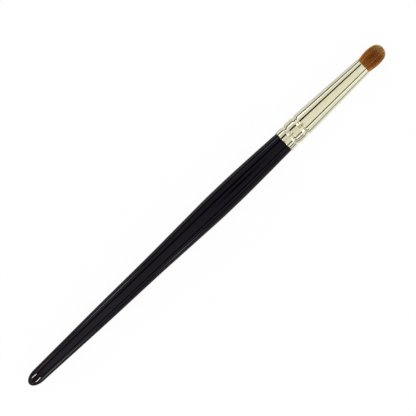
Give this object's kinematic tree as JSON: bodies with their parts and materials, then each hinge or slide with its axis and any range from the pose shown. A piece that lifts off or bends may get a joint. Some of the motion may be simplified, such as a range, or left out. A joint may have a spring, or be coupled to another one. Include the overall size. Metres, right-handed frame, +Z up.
{
  "type": "eyeshadow brush",
  "caption": "Slim hand brush for eye make-up: a round domed tuft of short soft hair in a tapered metal ferrule with rolled grooves, on a long tapered lacquered handle.",
  "frame": {"origin": "on the ground under the middle of the brush's length, with the belly resting on the ground", "axes": "+X along the brush from the butt towards the hair, +Z up"},
  "size_m": [0.17, 0.0092, 0.0092],
  "materials": {
    "handle_core": "matte",
    "handle_lacquer": "gloss",
    "tenon_glue": "satin",
    "ferrule": "polished",
    "root_resin": "gloss",
    "binding_thread": "matte",
    "hair_tuft": "satin"
  },
  "bodies": {
    "root": {"handle_core": "handle_core", "handle_lacquer": "handle_lacquer", "tenon_glue": "tenon_glue", "ferrule": "ferrule", "root_resin": "root_resin", "binding_thread": "binding_thread", "hair_tuft": "hair_tuft"}
  },
  "joints": []
}
